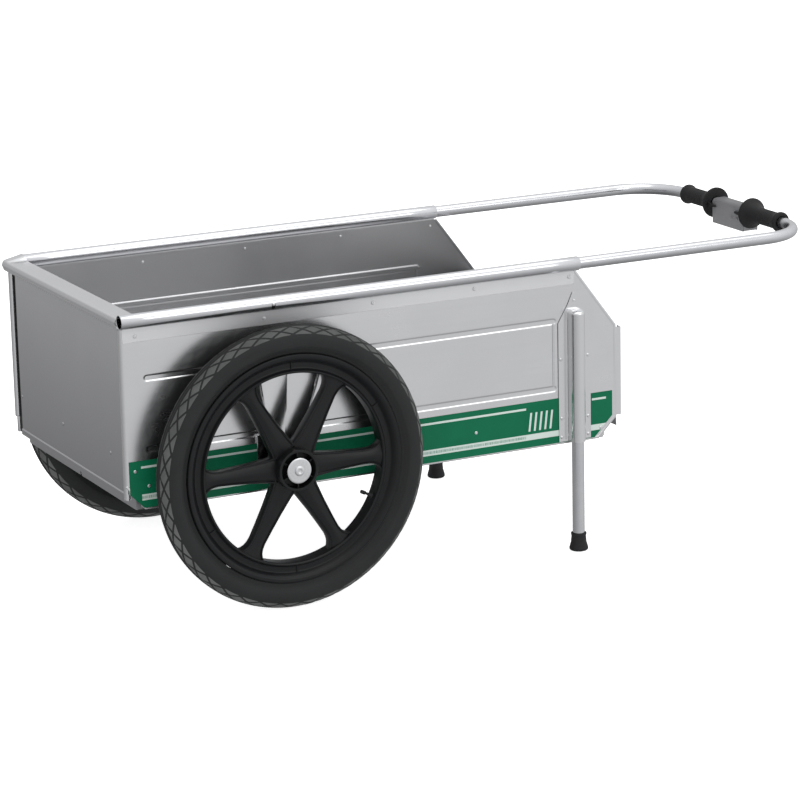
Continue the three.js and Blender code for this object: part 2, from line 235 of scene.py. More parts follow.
def zincPlate(name):
    look = Look(name, Metallic=1.0)
    flakes = look.node("ShaderNodeTexVoronoi", {}, {"Vector": look.place(), "Scale": 260.0})
    clouds = look.grain(60, (1, 1, 1), 4)
    look.colour(look.blend(flakes * 0.5 + clouds * 0.5, (0.74, 0.75, 0.76, 1), (0.95, 0.955, 0.96, 1)))
    look.rough(0.26 + clouds * 0.2)
    look.bump(clouds, 0.1, mm(0.2))
    return look.material


def tyreRubber(name):
    # Dull black sidewall; the tread blocks on the shoulder are greyer, partly dust and partly painted sheen
    # for the top light's highlight, with darker grooves between them.
    look = Look(name, Specular_IOR_Level=0.3)
    s = wheelSettings
    x, y, z = look.axes()
    across, up = x - axleX, z - axleZ
    radius = look.maths("SQRT", across * across + up * up)
    aside = look.maths("ABSOLUTE", look.maths("ABSOLUTE", y) - tyreY)
    lean = look.maths("ARCTAN2", aside, radius - mm(s["sectionCentre"]))
    turn = look.maths("ARCTAN2", across, up) * (s["diamonds"] / (2 * math.pi))
    start, end = s["tread"]
    slant = (lean - math.radians(start)) / math.radians(end - start)
    ways = (turn + slant, turn - slant)
    waves = [look.maths("ABSOLUTE", look.maths("FRACT", way) - 0.5) * 2 for way in ways]
    groove = look.maths("MAXIMUM", *waves)
    blocks = (groove < 0.8) * look.band(lean, math.radians(start - 1), math.radians(end + 2))
    pores = look.grain(1300, (1, 1, 1), 3)
    dust = look.grain(22, (1, 1, 1), 5, 0.4)
    wall = look.blend(dust, (0.008, 0.0085, 0.009, 1), (0.017, 0.018, 0.018, 1))
    # tread block colour: dust plus painted sheen, lighter than the sidewall rubber
    worn = look.blend(dust, (0.035, 0.037, 0.036, 1), (0.12, 0.124, 0.12, 1))
    look.colour(look.blend(blocks, wall, worn))
    look.rough(0.5 + dust * 0.2)
    look.bump(pores, 0.3, mm(0.25))
    return look.material


def mouldedPlastic(name, dark, light, roughness, textureScale=700):
    look = Look(name, Specular_IOR_Level=0.26)
    texture = look.grain(textureScale, (1, 1, 1), 2)
    flow = look.grain(16, (1, 1, 1), 3, 0.8)
    look.colour(look.blend(flow, dark, light))
    look.rough(roughness + (flow - 0.5) * 0.16)
    look.bump(texture, 0.16, mm(0.2))
    return look.material


# green film with plain marks only: a thin pale line at the top, a pale band below, a few slanted bars
labelStripes = {"topLine": (279, 283), "lowBand": (221.5, 232.5), "marks": (224.5, 229.5), "bars": (238, 273)}


def printedFilm(name):
    look = Look(name, Roughness=0.5, Specular_IOR_Level=0.12)
    s = labelStripes
    x, _, z = look.axes()
    top = look.band(z, *(mm(value) for value in s["topLine"]))
    top = top * (look.band(x, -0.69, 0.072) + look.band(x, 0.211, 0.241))
    low = look.band(z, *(mm(value) for value in s["lowBand"])) * look.band(x, -0.69, 0.241)
    chance = look.node("ShaderNodeTexNoise", {"noise_dimensions": "1D"}, {"W": x * 210.0, "Detail": 1.0})
    marks = look.band(z, *(mm(value) for value in s["marks"])) * (chance > 0.49) * look.band(x, -0.69, 0.071)
    leaning = x - z * 0.12
    bars = look.maths("MODULO", leaning + 4.0, mm(11)) < mm(4)
    bars = bars * look.band(z, *(mm(value) for value in s["bars"])) * look.band(leaning, 0.046, 0.097)
    fade = look.grain(35, (1, 1, 1), 4)
    green = look.blend(fade, (0.001, 0.098, 0.045, 1), (0.002, 0.125, 0.058, 1))
    printed = look.blend((top + low + bars) * 0.85, green, (0.56, 0.62, 0.59, 1))
    look.colour(look.blend(marks * 0.75, printed, (0.03, 0.14, 0.09, 1)))
    return look.material


finish = {
    # side panels: inside painted darker as painted shade, from 0.8 of the tint at the front to 0.26 at the
    # rear
    "panel_aluminium": rolledSheet("millSheet", (0.89, 0.892, 0.9, 1), 0.25, (0.05, 1, 1),
                                   inside={"from": -0.05, "to": 0.22, "front": 0.8, "rear": 0.26}),
    # gate, rear gate and bed sheet: painted shade, darker from 0.5 m down to 0.6 of the tint at 0.23 m and
    # below
    "gate_aluminium": rolledSheet("gateSheet", (0.83, 0.83, 0.845, 1), 0.36, (1, 1, 0.06),
                                  low=(0.23, 0.5, 0.6)),
    "skirt_aluminium": rolledSheet("skirtSheet", (0.7, 0.702, 0.71, 1), 0.48, (0.05, 1, 1),
                                   metallic=0.55),
    "bracket_aluminium": rolledSheet("pressedSheet", (0.86, 0.862, 0.87, 1), 0.2, (1, 1, 0.08), 0.03),
    "tube_aluminium": drawnTube("drawnTube", (0.8, 0.806, 0.825, 1), 0.18),
    "steel": zincPlate("zincPlate"),
    "tyre_rubber": tyreRubber("tyreRubber"),
    "black_plastic": mouldedPlastic("rimPlastic", (0.005, 0.0055, 0.006, 1), (0.009, 0.0095, 0.01, 1), 0.34),
    "soft_rubber": mouldedPlastic("gripRubber", (0.009, 0.009, 0.01, 1), (0.018, 0.018, 0.019, 1),
                                  0.55, 1500),
    "grey_plastic": mouldedPlastic("greyPlastic", (0.16, 0.16, 0.165, 1), (0.21, 0.21, 0.215, 1), 0.45),
    "label_green": printedFilm("printedFilm"),
}
print("finishes made:", len(finish))

# mesh making


def settle(piece):
    # Modifiers become plain mesh.
    evaluated = piece.evaluated_get(bpy.context.evaluated_depsgraph_get())
    made = bpy.data.meshes.new_from_object(evaluated)
    piece.modifiers.clear()
    piece.data = made


def build(name, verts, faces, smoothAngle=32):
    mesh = bpy.data.meshes.new(name)
    mesh.from_pydata([tuple(vert) for vert in verts], [], faces)
    shape = bmesh.new()
    shape.from_mesh(mesh)
    bmesh.ops.remove_doubles(shape, verts=shape.verts, dist=1e-7)
    bmesh.ops.recalc_face_normals(shape, faces=shape.faces)
    shape.to_mesh(mesh)
    shape.free()
    piece = bpy.data.objects.new(name, mesh)
    bpy.context.collection.objects.link(piece)
    soften(piece, smoothAngle)
    return piece


def soften(piece, angle=32):
    piece.data.shade_smooth()
    piece.data.set_sharp_from_angle(angle=math.radians(angle))


def modify(piece, kind, **settings):
    modifier = piece.modifiers.new(kind.title(), kind)
    for key, value in settings.items():
        setattr(modifier, key, value)
    bpy.context.view_layer.update()
    settle(piece)


def bevelled(piece, width, segments=3, angle=35):
    modify(piece, "BEVEL", width=width, segments=segments, limit_method="ANGLE",
           angle_limit=math.radians(angle), harden_normals=False)
    soften(piece, 40)


def dress(piece, body, slotName, replaced=(), look=None):
    piece.data.materials.clear()
    piece.data.materials.append(finish[look or slotName])
    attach(piece, body)
    if replaced:
        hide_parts(*replaced)
    return piece


def gather(name, parts):
    # Several shapes as one piece.
    shape = bmesh.new()
    for part in parts:
        shape.from_mesh(part.data)
        bpy.data.objects.remove(part)
    mesh = bpy.data.meshes.new(name)
    shape.to_mesh(mesh)
    shape.free()
    piece = bpy.data.objects.new(name, mesh)
    bpy.context.collection.objects.link(piece)
    soften(piece)
    return piece


axisTurn = {
    "x": lambda radius, angle, along: (along, radius * math.cos(angle), radius * math.sin(angle)),
    "y": lambda radius, angle, along: (radius * math.sin(angle), along, radius * math.cos(angle)),
    "z": lambda radius, angle, along: (radius * math.cos(angle), radius * math.sin(angle), along),
}


def quad(row, column, nextRow, nextColumn, width):
    # Corner numbers of one cell in a grid of points, row after row.
    here, ahead = row * width, nextRow * width
    return here + column, here + nextColumn, ahead + nextColumn, ahead + column


def turned(name, axis, profile, centre, steps=72, closed=True, smoothAngle=32, ripple=None):
    # profile: (radius, distance along the axis) points; ripple adds to the radius at (point, angle)
    verts, faces = [], []
    count = len(profile)
    for step in range(steps):
        angle = 2 * math.pi * step / steps
        for point, (radius, along) in enumerate(profile):
            extra = ripple(point, angle) if ripple else 0
            verts.append(Vector(centre) + Vector(axisTurn[axis](radius + extra, angle, along)))
    rings = count if closed else count - 1
    for step in range(steps):
        for point in range(rings):
            after = (point + 1) % count
            ahead = (step + 1) % steps
            faces.append(quad(step, point, ahead, after, count))
    return build(name, verts, faces, smoothAngle)


def rounded(corners, radius, steps=4, closed=True):
    # Corner list with its corners turned into arcs.
    points = []
    count = len(corners)
    for index, corner in enumerate(corners):
        if not closed and index in (0, count - 1):
            points.append(tuple(corner))
            continue
        here = Vector(corner)
        before = Vector(corners[index - 1]) - here
        after = Vector(corners[(index + 1) % count]) - here
        reach = min(radius, before.length * 0.45, after.length * 0.45)
        start, end = here + before.normalized() * reach, here + after.normalized() * reach
        for step in range(steps + 1):
            t = step / steps
            points.append(tuple(start * (1 - t) ** 2 + here * 2 * t * (1 - t) + end * t * t))
    return points


def extruded(name, outline, place, low, high, smoothAngle=32, steps=1):
    # outline: closed 2D points; place(u, v, w) gives the 3D point, w runs from low to high
    count = len(outline)
    verts = [place(u, v, low + (high - low) * step / steps) for step in range(steps + 1) for u, v in outline]
    faces = [tuple(range(count)), tuple(reversed(range(steps * count, (steps + 1) * count)))]
    for step in range(steps):
        for point in range(count):
            after = (point + 1) % count
            faces.append(quad(step, point, step + 1, after, count))
    return build(name, verts, faces, smoothAngle)


def sheetMetal(name, columns, rows, place, thickness, keep=None, smoothAngle=32, offset=0):
    # A grid of columns by rows points, given wall thickness; keep(i, j) drops cells
    verts = [place(i, j) for j in range(rows) for i in range(columns)]
    faces = []
    for j in range(rows - 1):
        for i in range(columns - 1):
            if keep is None or keep(i, j):
                faces.append(quad(j, i, j + 1, i + 1, columns))
    piece = build(name, verts, faces, smoothAngle)
    loose = bmesh.new()
    loose.from_mesh(piece.data)
    bmesh.ops.delete(loose, geom=[vert for vert in loose.verts if not vert.link_faces], context="VERTS")
    loose.to_mesh(piece.data)
    loose.free()
    modify(piece, "SOLIDIFY", thickness=thickness, offset=offset, use_even_offset=True)
    soften(piece, smoothAngle)
    return piece


def swept(name, path, radius, steps=40, wall=None):
    # Round tube along a level path; with a wall it is hollow, else its ends are closed.
    section = [(radius * math.cos(2 * math.pi * n / steps), radius * math.sin(2 * math.pi * n / steps))
               for n in range(steps)]
    verts, faces = [], []
    for index, point in enumerate(path):
        ahead = path[min(index + 1, len(path) - 1)]
        behind = path[max(index - 1, 0)]
        forward = (Vector(ahead) - Vector(behind)).normalized()
        across = forward.cross(Vector((0, 0, 1))).normalized()
        for u, v in section:
            verts.append(Vector(point) + across * u + Vector((0, 0, v)))
    for index in range(len(path) - 1):
        for n in range(steps):
            after = (n + 1) % steps
            faces.append(quad(index, n, index + 1, after, steps))
    piece = build(name, verts, faces)
    if wall:
        modify(piece, "SOLIDIFY", thickness=wall, offset=-1)
        soften(piece)
    return piece


def smoothStep(value):
    value = min(max(value, 0), 1)
    return value * value * (3 - 2 * value)


def rivet(centre, outward, radius=mm(3.4), height=mm(1.5)):
    # Domed head with a shallow centre dimple, as a pulled rivet has.
    profile = [(0, 0.72), (0.2, 0.74), (0.32, 0.95), (0.5, 1), (0.75, 0.84), (0.94, 0.45), (1, 0), (0, 0)]
    turn = Vector((0, 0, 1)).rotation_difference(Vector(outward)).to_matrix()
    verts, faces = [], []
    steps = 14
    for step in range(steps):
        angle = 2 * math.pi * step / steps
        for reach, lift in profile:
            away = radius * reach
            local = Vector((away * math.cos(angle), away * math.sin(angle), height * lift))
            verts.append(Vector(centre) + turn @ local)
    count = len(profile)
    for step in range(steps):
        for point in range(count - 1):
            ahead = (step + 1) % steps
            faces.append(quad(step, point, ahead, point + 1, count))
    return build("rivet", verts, faces, 60)


def platePiece(name, xs, ys, zs, width):
    # A block with softened edges, from its ranges in metres.
    (x0, x1), (y0, y1), (z0, z1) = xs, ys, zs
    place = lambda u, v, w: (u, v, w)
    piece = extruded(name, [(x0, y0), (x1, y0), (x1, y1), (x0, y1)], place, z0, z1)
    bevelled(piece, width, 3, 50)
    return piece


print("tools ready")

# wheels


def tyre(side, sign):
    s = wheelSettings
    reach = 114  # degrees of section on each side of the crown
    count = 48
    start, end = s["tread"]
    phis = [-reach + 2 * reach * n / (count - 1) for n in range(count)]
    profile = [(mm(s["sectionCentre"] + s["sectionRadius"] * math.cos(math.radians(phi))),
                mm(s["sectionRadius"] * math.sin(math.radians(phi)))) for phi in phis]
    profile += [(mm(215), mm(17)), (mm(208.2), mm(15.6)), (mm(207.8), mm(14)), (mm(207.8), mm(-14)),
                (mm(208.2), mm(-15.6)), (mm(215), mm(-17))]
    depth = mm(s["treadDepth"])

    def ripple(point, angle):
        if point >= count:
            return 0
        phi = abs(phis[point])
        if phi < 3 or 13 < phi < start:
            return -depth * 0.8
        if start <= phi <= end:
            turn = angle * s["diamonds"] / (2 * math.pi)
            lean = (phi - start) / (end - start)
            lines = [abs((turn + way * lean) % 1 - 0.5) * 2 for way in (1, -1)]
            cutting = max(smoothStep((line - 0.7) / 0.18) for line in lines)
            return -depth * cutting * smoothStep((end + 2 - phi) / 8)
        if 66 < phi < 69 or 84 < phi < 86:
            return mm(0.5)
        return 0

    piece = turned(f"{side}_tyre_cover", "y", profile, (axleX, sign * tyreY, axleZ),
                   steps=s["diamonds"] * 10, smoothAngle=50, ripple=ripple)
    dress(piece, f"{side}_wheel", "tyre_rubber", [f"{side}_tyre"])


def radial(degrees):
    angle = math.radians(degrees)
    return Vector((math.sin(angle), 0, math.cos(angle)))


def mirrored(half):
    # Outline of one half turned into the whole, across the wheel's middle plane.
    return [(mm(r), mm(y)) for r, y in half] + [(mm(r), mm(-y)) for r, y in reversed(half[1:-1])]


def spokeShape(centre, degrees):
    # Roof-shaped moulding with an edge rib, flared where it meets hub and hoop.
    widths = [(29, 27), (36, 24.5), (50, 21.5), (85, 17.5), (120, 14.8), (144, 13.6), (154, 14.8),
              (161, 17.5), (167, 22), (171, 28), (174, 36)]
    side = [(1, 0), (1, 6.5), (0.95, 9), (0.84, 9.4), (0.76, 7.6), (0.12, 12.5)]
    section = side + [(-u, v) for u, v in reversed(side)] + [(-u, -v) for u, v in side[1:]]
    section += [(u, -v) for u, v in reversed(side[1:])]
    out = radial(degrees)
    across = Vector((out.z, 0, -out.x))
    verts, faces = [], []
    for radius, half in widths:
        for u, v in section:
            verts.append(centre + out * mm(radius) + across * mm(u * half) + Vector((0, mm(v), 0)))
    count = len(section)
    for ring in range(len(widths) - 1):
        for n in range(count):
            after = (n + 1) % count
            faces.append(quad(ring, n, ring + 1, after, count))
    faces.append(tuple(range(count)))
    faces.append(tuple(reversed(range((len(widths) - 1) * count, len(widths) * count))))
    return build("spoke", verts, faces, 28)


def rim(side, sign):
    centre = Vector((axleX, sign * tyreY, axleZ))
    half = rounded([(171.5, 0), (171.5, 14.5), (175.5, 16.5), (179, 9), (190, 8.5), (196, 17), (200, 20),
                    (206, 20), (207.4, 17), (207.2, 15), (199, 14.6), (198.6, 0)], 2.2, 3, closed=False)
    parts = [turned("hoop", "y", mirrored(half), centre, 192, True, 28)]
    bore, boss, well = 10.8, 17, 12
    hub = rounded([(bore, 0), (bore, 28), (boss, 28), (boss, well), (32.5, well), (32.5, 30), (37.5, 30),
                   (38.5, 0)], 1.2, 3, closed=False)
    parts.append(turned("hub", "y", mirrored(hub), centre, 96, True, 28))
    for degrees in wheelSettings["spokeAngles"]:
        parts.append(spokeShape(centre, degrees))
        for face in (-1, 1):
            web = Matrix.Rotation(math.radians(degrees + 30), 4, "Y")
            outline = [(-1.2, 15), (1.2, 15), (1.2, 34), (-1.2, 34)]
            place = lambda u, v, w: centre + web @ Vector((mm(u), mm(w), mm(v)))
            low, high = sorted((face * 10, face * 25))
            parts.append(extruded("web", outline, place, low, high))
    for degrees in range(0, 360, 60):
        # faint mould marks in the hoop's channel
        turn = Matrix.Rotation(math.radians(degrees), 4, "Y")
        place = lambda u, v, w: centre + turn @ Vector((mm(u), mm(w), mm(v)))
        parts.append(extruded("rib", [(-0.9, 177), (0.9, 177), (0.9, 193), (-0.9, 193)], place, -10.8, 10.8))
    dress(gather(f"{side}_rim_moulding", parts), f"{side}_wheel", "black_plastic",
          [f"{side}_rim_hoop", f"{side}_rim_spider"])


def valve(side, sign):
    profile = rounded([(0, 148), (3.2, 148), (3.4, 157), (2.4, 158), (2.4, 163), (3.6, 166), (5.2, 170.5),
                       (6.4, 174), (0, 174)], 0.8, 3, closed=False)
    piece = turned(f"{side}_valve", "z", [(mm(r), mm(z)) for r, z in profile], (0, 0, 0), 28, False,
                   ripple=lambda point, turn: mm(0.15) * math.cos(turn * 14) if 2 < point < 7 else 0)
    out = radial(wheelSettings["valveAngle"])
    turnOut = Vector((0, 0, 1)).rotation_difference(out).to_matrix().to_4x4()
    piece.data.transform(Matrix.Translation((axleX, sign * tyreY, axleZ)) @ turnOut)
    dress(piece, f"{side}_wheel", "tyre_rubber", [f"{side}_valve_stem"])


def hubCap(side, sign):
    face = abs(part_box(f"{side}_hub_washer")[0 if sign < 0 else 1][1])
    disc = rounded([(4.2, -1.6), (4.2, 0), (9, -0.2), (21, -0.2), (23, -1), (23, -1.9), (4.2, -1.9)], 0.5, 3)
    profile = [(mm(r), sign * (face + mm(y))) for r, y in disc]
    dress(turned(f"{side}_washer", "y", profile, (axleX, 0, axleZ), 96), f"{side}_side", "steel",
          [f"{side}_hub_washer"])
    out = abs(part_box(f"{side}_axle_bolt")[0 if sign < 0 else 1][1])
    head = rounded([(0, -2.4), (3.2, -2.4), (3.6, -0.3), (5.6, 0), (8, -0.5), (9, -1.7), (9, -2.5), (4, -2.6),
                    (4, -22), (0, -22)], 0.7, 3, closed=False)
    profile = [(mm(r), sign * (out + mm(y))) for r, y in head]
    dress(turned(f"{side}_bolt", "y", profile, (axleX, 0, axleZ), 60, False), f"{side}_side", "steel",
          [f"{side}_axle_bolt"])


for side, sign in sides.items():
    tyre(side, sign)
    rim(side, sign)
    valve(side, sign)
    hubCap(side, sign)
print("wheels done")

# side panels

panelSettings = {
    "frontChamfer": (35, 45), "rearChamfer": 37, "shoulderZ": 417.5,
    "grooveTop": 438.5, "grooveLow": 311.5, "grooveFront": -247, "grooveRear": 556, "grooveHalf": 7,
    "lineHalf": 3.2, "grooveDepth": 1.1, "hem": 5, "rollRadius": 6.5,
}


def stations(low, high, coarse, features):
    # Evenly coarse, with fine steps round each feature (centre, reach, step).
    marks = {low, high}
    steps = round((high - low) / coarse)
    marks |= {low + (high - low) * n / steps for n in range(steps)}
    for centre, reach, step in features:
        marks = {mark for mark in marks if abs(mark - centre) > reach or mark in (low, high)}
        marks |= {centre + step * n for n in range(-round(reach / step), round(reach / step) + 1)}
    return sorted(mark for mark in marks if low <= mark <= high)


def grooveDepth(x, z):
    # Pressed frame: two long flat grooves joined by a narrow one at their rear ends.
    s = panelSettings
    along = max(s["grooveFront"] - x, x - s["grooveRear"], 0)
    levels = (s["grooveTop"], s["grooveLow"])
    depths = [(s["grooveHalf"] - math.hypot(along, z - level)) / 3.6 for level in levels]
    beyond = max(s["grooveLow"] - z, z - s["grooveTop"], 0)
    depths.append((s["lineHalf"] - math.hypot(beyond, x - s["grooveRear"])) / 3)
    return mm(s["grooveDepth"]) * max(smoothStep(depth) for depth in depths)


def panelOutline(side):
    low, high = (Vector(corner) * 1000 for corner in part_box(f"{side}_side_panel"))
    axle = axleX * 1000
    front, rear = low.x - axle, high.x - axle
    chamferX, chamferZ = panelSettings["frontChamfer"]
    cutOff = panelSettings["rearChamfer"]
    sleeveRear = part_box(f"{side}_rail_sleeve")[1][0] * 1000 - axle
    return [(front, high.z), (front, low.z + chamferZ), (front + chamferX, low.z), (rear - cutOff, low.z),
            (rear, low.z + cutOff), (rear, panelSettings["shoulderZ"]), (sleeveRear, high.z)]


def heights(outline, x):
    # Lowest and highest Z of the outline at this X.
    crossings = []
    for (x0, z0), (x1, z1) in zip(outline, outline[1:] + outline[:1]):
        if x0 != x1 and min(x0, x1) <= x <= max(x0, x1):
            crossings.append(z0 + (z1 - z0) * (x - x0) / (x1 - x0))
        elif x0 == x1 == x:
            crossings += [z0, z1]
    return min(crossings), max(crossings)


def panelSheet(side, sign):
    s = panelSettings
    outline = panelOutline(side)
    front, rear = outline[0][0], outline[4][0]
    if side == "near":
        front += s["rollRadius"]
    corners = [(x, 0.1, 0.1) for x, z in outline if x > front]
    across = stations(front, rear, 24, corners + [(s["grooveFront"] - 4, 8, 1.6), (s["grooveRear"], 6, 0.8)])
    bottom, top = outline[2][1], outline[0][1]
    up = stations(bottom, top, 16, [(s["grooveTop"], 9, 0.8), (s["grooveLow"], 9, 0.8)])

    def place(i, j):
        x = across[i]
        low, high = heights(outline, x)
        z = min(max(up[j], low), high)
        wave = mm(0.5) * noise.noise(Vector((x / 260, z / 130, 3.7 * sign)))
        return axleX + mm(x), sign * (panelOut - mm(0.9) - grooveDepth(x, z) + wave), mm(z)

    sheet = sheetMetal(f"{side}_sheet", len(across), len(up), place, mm(1.4), smoothAngle=50)
    parts = [sheet, hemStrip(outline, sign)]
    if side == "near":
        parts.append(rolledEdge(outline, sign))
    dress(gather(f"{side}_panel", parts), f"{side}_side", "panel_aluminium", [f"{side}_side_panel"])


def hemStrip(outline, sign):
    # Folded edge round the front, bottom and rear, a little thicker than the sheet.
    width = panelSettings["hem"]
    ends = outline[1:]
    inside = []
    for index, (x, z) in enumerate(ends):
        before = Vector(outline[index])
        here = Vector((x, z))
        after = Vector(ends[index + 1]) if index + 1 < len(ends) else here + (here - before)
        first, second = (here - before).normalized(), (after - here).normalized()
        normal = Vector((-first.y, first.x)) + Vector((-second.y, second.x))
        inside.append(here + normal.normalized() * width / max(normal.length / 2, 0.3))
    verts, faces = [], []
    for index, (outer, inner) in enumerate(zip(ends, inside)):
        for x, z in (outer, inner):
            verts.append((axleX + mm(x), sign * (panelOut - mm(1)), mm(z)))
        if index:
            faces.append((index * 2 - 2, index * 2 - 1, index * 2 + 1, index * 2))
    hem = build("hem", verts, faces)
    modify(hem, "SOLIDIFY", thickness=mm(2.6), offset=0)
    bevelled(hem, mm(0.9), 3)
    return hem


def rolledEdge(outline, sign):
    # The sheet rolled round into a bright half tube along its front edge.
    radius = panelSettings["rollRadius"]
    front = outline[0][0]
    bottom, top = outline[1][1], outline[0][1] - 2
    steps = 18
    levels = stations(bottom, top, 60, [(bottom + 4, 4, 1), (top - 3, 3, 1)])

    def place(i, j):
        angle = math.pi * i / steps
        x = front + radius - radius * math.sin(angle)
        y = panelOut - mm(radius - radius * math.cos(angle))
        return axleX + mm(x), sign * y, mm(levels[j])

    return sheetMetal("roll", steps + 1, len(levels), place, mm(1.2), smoothAngle=40)


sleeveSettings = {"wall": 1.3, "skirtBottom": 505, "slotX": -12, "slotHalf": 3.4}


def railSleeve(side, sign):
    s = sleeveSettings
    low, high = (Vector(corner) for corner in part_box(f"{side}_rail_sleeve"))
    around = 64
    along = stations(low.x, high.x, mm(60), [(axleX + mm(s["slotX"]), mm(s["slotHalf"]), mm(s["slotHalf"]))])
    along = sorted(set(along) | {low.x + mm(0.6), high.x - mm(0.6)})

    def place(i, j):
        angle = 2 * math.pi * i / around
        pinch = mm(0.35) if j in (0, len(along) - 1) else 0
        radius = railRadius - mm(s["wall"]) / 2 - pinch
        return along[j], sign * (railY + radius * math.cos(angle)), railZ + radius * math.sin(angle)

    def keep(i, j):
        # quarter slot from straight out to straight down
        middleX = (along[j] + along[j + 1]) / 2 - axleX
        turn = (i + 0.5) / around
        return not (abs(middleX - mm(s["slotX"])) < mm(s["slotHalf"]) and (turn > 0.74 or turn < 0.02))

    tube = sheetMetal(f"{side}_rail", around + 1, len(along), place, mm(s["wall"]), keep, 40)
    drop = [(railY - mm(9.5), railZ - mm(7.5)), (panelOut + mm(2.2), railZ - mm(10.5)),
            (panelOut + mm(1.1), railZ - mm(15)), (panelOut + mm(1.1), mm(s["skirtBottom"] + 2)),
            (panelOut + mm(0.8), mm(s["skirtBottom"]))]
    ends = [low.x + mm(7), high.x - mm(4)]
    hang = lambda i, j: (ends[i], sign * drop[j][0], drop[j][1])
    skirt = sheetMetal(f"{side}_skirt", 2, len(drop), hang, mm(1.2), smoothAngle=60)
    bevelled(skirt, mm(0.5), 2, 50)
    dress(tube, f"{side}_side", "tube_aluminium", [f"{side}_rail_sleeve"])
    dress(skirt, f"{side}_side", "tube_aluminium", look="skirt_aluminium")


def screw(side, sign):
    centre = middle(f"{side}_stop_screw")
    tip = Vector((centre.x, sign * (railY + mm(14)), railZ))
    profile = [(0, -0.9), (1, -0.9), (1.3, 0), (2.3, -0.5), (2.8, -1.4), (2.8, -2.4), (2, -2.6),
               (2, -6), (0, -6)]
    piece = turned(f"{side}_slot_screw", "y", [(mm(r), sign * mm(y)) for r, y in profile], tip, 28, False)
    dress(piece, f"{side}_handle", "steel", [f"{side}_stop_screw"])


def slotShadeStrip(side, sign):
    # Thin black strip between the two tubes, seen only through the quarter slot: painted shade for the slot's
    # dark depth.
    centre = axleX + mm(sleeveSettings["slotX"])

    def place(i, j):
        angle = math.radians(-104 + 118 * i / 20)
        radius = railRadius - mm(1.55)
        y, z = railY + radius * math.cos(angle), railZ + radius * math.sin(angle)
        return centre + mm((-6, 6)[j]), sign * y, z

    dress(sheetMetal(f"{side}_slot_shade_strip", 21, 2, place, mm(0.3)), f"{side}_side", "black_plastic")


for side, sign in sides.items():
    panelSheet(side, sign)
    railSleeve(side, sign)
    screw(side, sign)
    slotShadeStrip(side, sign)
print("side panels done")

# brackets on the side panels

fanSettings = {
    "top": 176, "topHalf": 75, "bottom": -32, "bottomHalf": 31, "boss": 21, "ridge": 12.5, "sheet": 1.6,
    "leanTop": 20, "leanFoot": 5, "strap": (-45, -22, 0, 53), "rivets": (-44, -4, 44, 84),
}


def axleBracket(side, sign):
    # Pressed fan: a valley down the middle between two rounded ridges that run together at the boss.
    s = fanSettings
    base = panelOut + mm(1.5)

    def rise(z):
        return min(max(z / s["top"], 0), 1)

    rowsZ = stations(s["bottom"], s["top"], 6, [])
    folds = [-1, -0.86, -0.8, -0.76, -0.73, -0.7, -0.66, -0.5, -0.3, -0.1, -0.03, 0]
    folds += [-u for u in reversed(folds[:-1])]

    def place(i, j):
        u, z = folds[i], rowsZ[j]
        half = s["bottomHalf"] + (s["topHalf"] - s["bottomHalf"]) * smoothStep(rise(z)) ** 0.85
        lean = s["leanFoot"] + (s["leanTop"] - s["leanFoot"]) * rise(z)
        foot = 1 - smoothStep((-14 - z) / 16)
        height = s["ridge"] * (1 - 0.28 * rise(z)) * foot * (1 - 0.6 * smoothStep((z - 160) / 16))
        away = abs(u)
        shape = smoothStep((0.88 - away) / 0.16) if away > 0.7 else 0.22 + 0.78 * (away / 0.7) ** 0.9
        valley = shape + (1 - shape) * smoothStep((34 - z) / 20) if away < 0.7 else shape
        return axleX + mm(lean + u * half), sign * (base + mm(max(height * valley, 0))), axleZ + mm(z)

    fan = sheetMetal("fan", len(folds), len(rowsZ), place, mm(s["sheet"]), smoothAngle=24)
    boss = [(8.6, 14), (12, 17.2), (s["boss"] - 4, 17.2), (s["boss"], 12), (s["boss"] + 1, 4), (8.6, 4)]
    profile = [(mm(r), sign * (panelOut + mm(y))) for r, y in rounded(boss, 1.5, 3)]
    parts = [fan, turned("boss", "y", profile, (axleX, 0, axleZ), 60)]
    for x in s["rivets"]:
        spot = (axleX + mm(x), sign * (base + mm(s["sheet"] / 2)), axleZ + mm(s["top"] - 8))
        parts.append(rivet(spot, (0, sign, 0)))
    x0, x1, z0, z1 = (mm(value) for value in s["strap"])
    parts.append(platePiece("strap", (axleX + x0, axleX + x1), sorted((sign * base, sign * (base + mm(2.4)))),
                            (axleZ + z0, axleZ + z1), mm(0.7)))
    dress(gather(f"{side}_axle_fan", parts), f"{side}_side", "bracket_aluminium", [f"{side}_axle_bracket"])


legSettings = {
    "plateHalf": 33.5, "bottom": 209.7, "shoulder": 434, "tip": 489, "domeTop": 460, "domeRise": 9,
    "channel": 13.6, "buttonZ": 275,
    "rivets": ((-29, 366), (28, 368), (-28, 254), (28, 252), (-28, 218), (28, 218), (0, 474)),
}


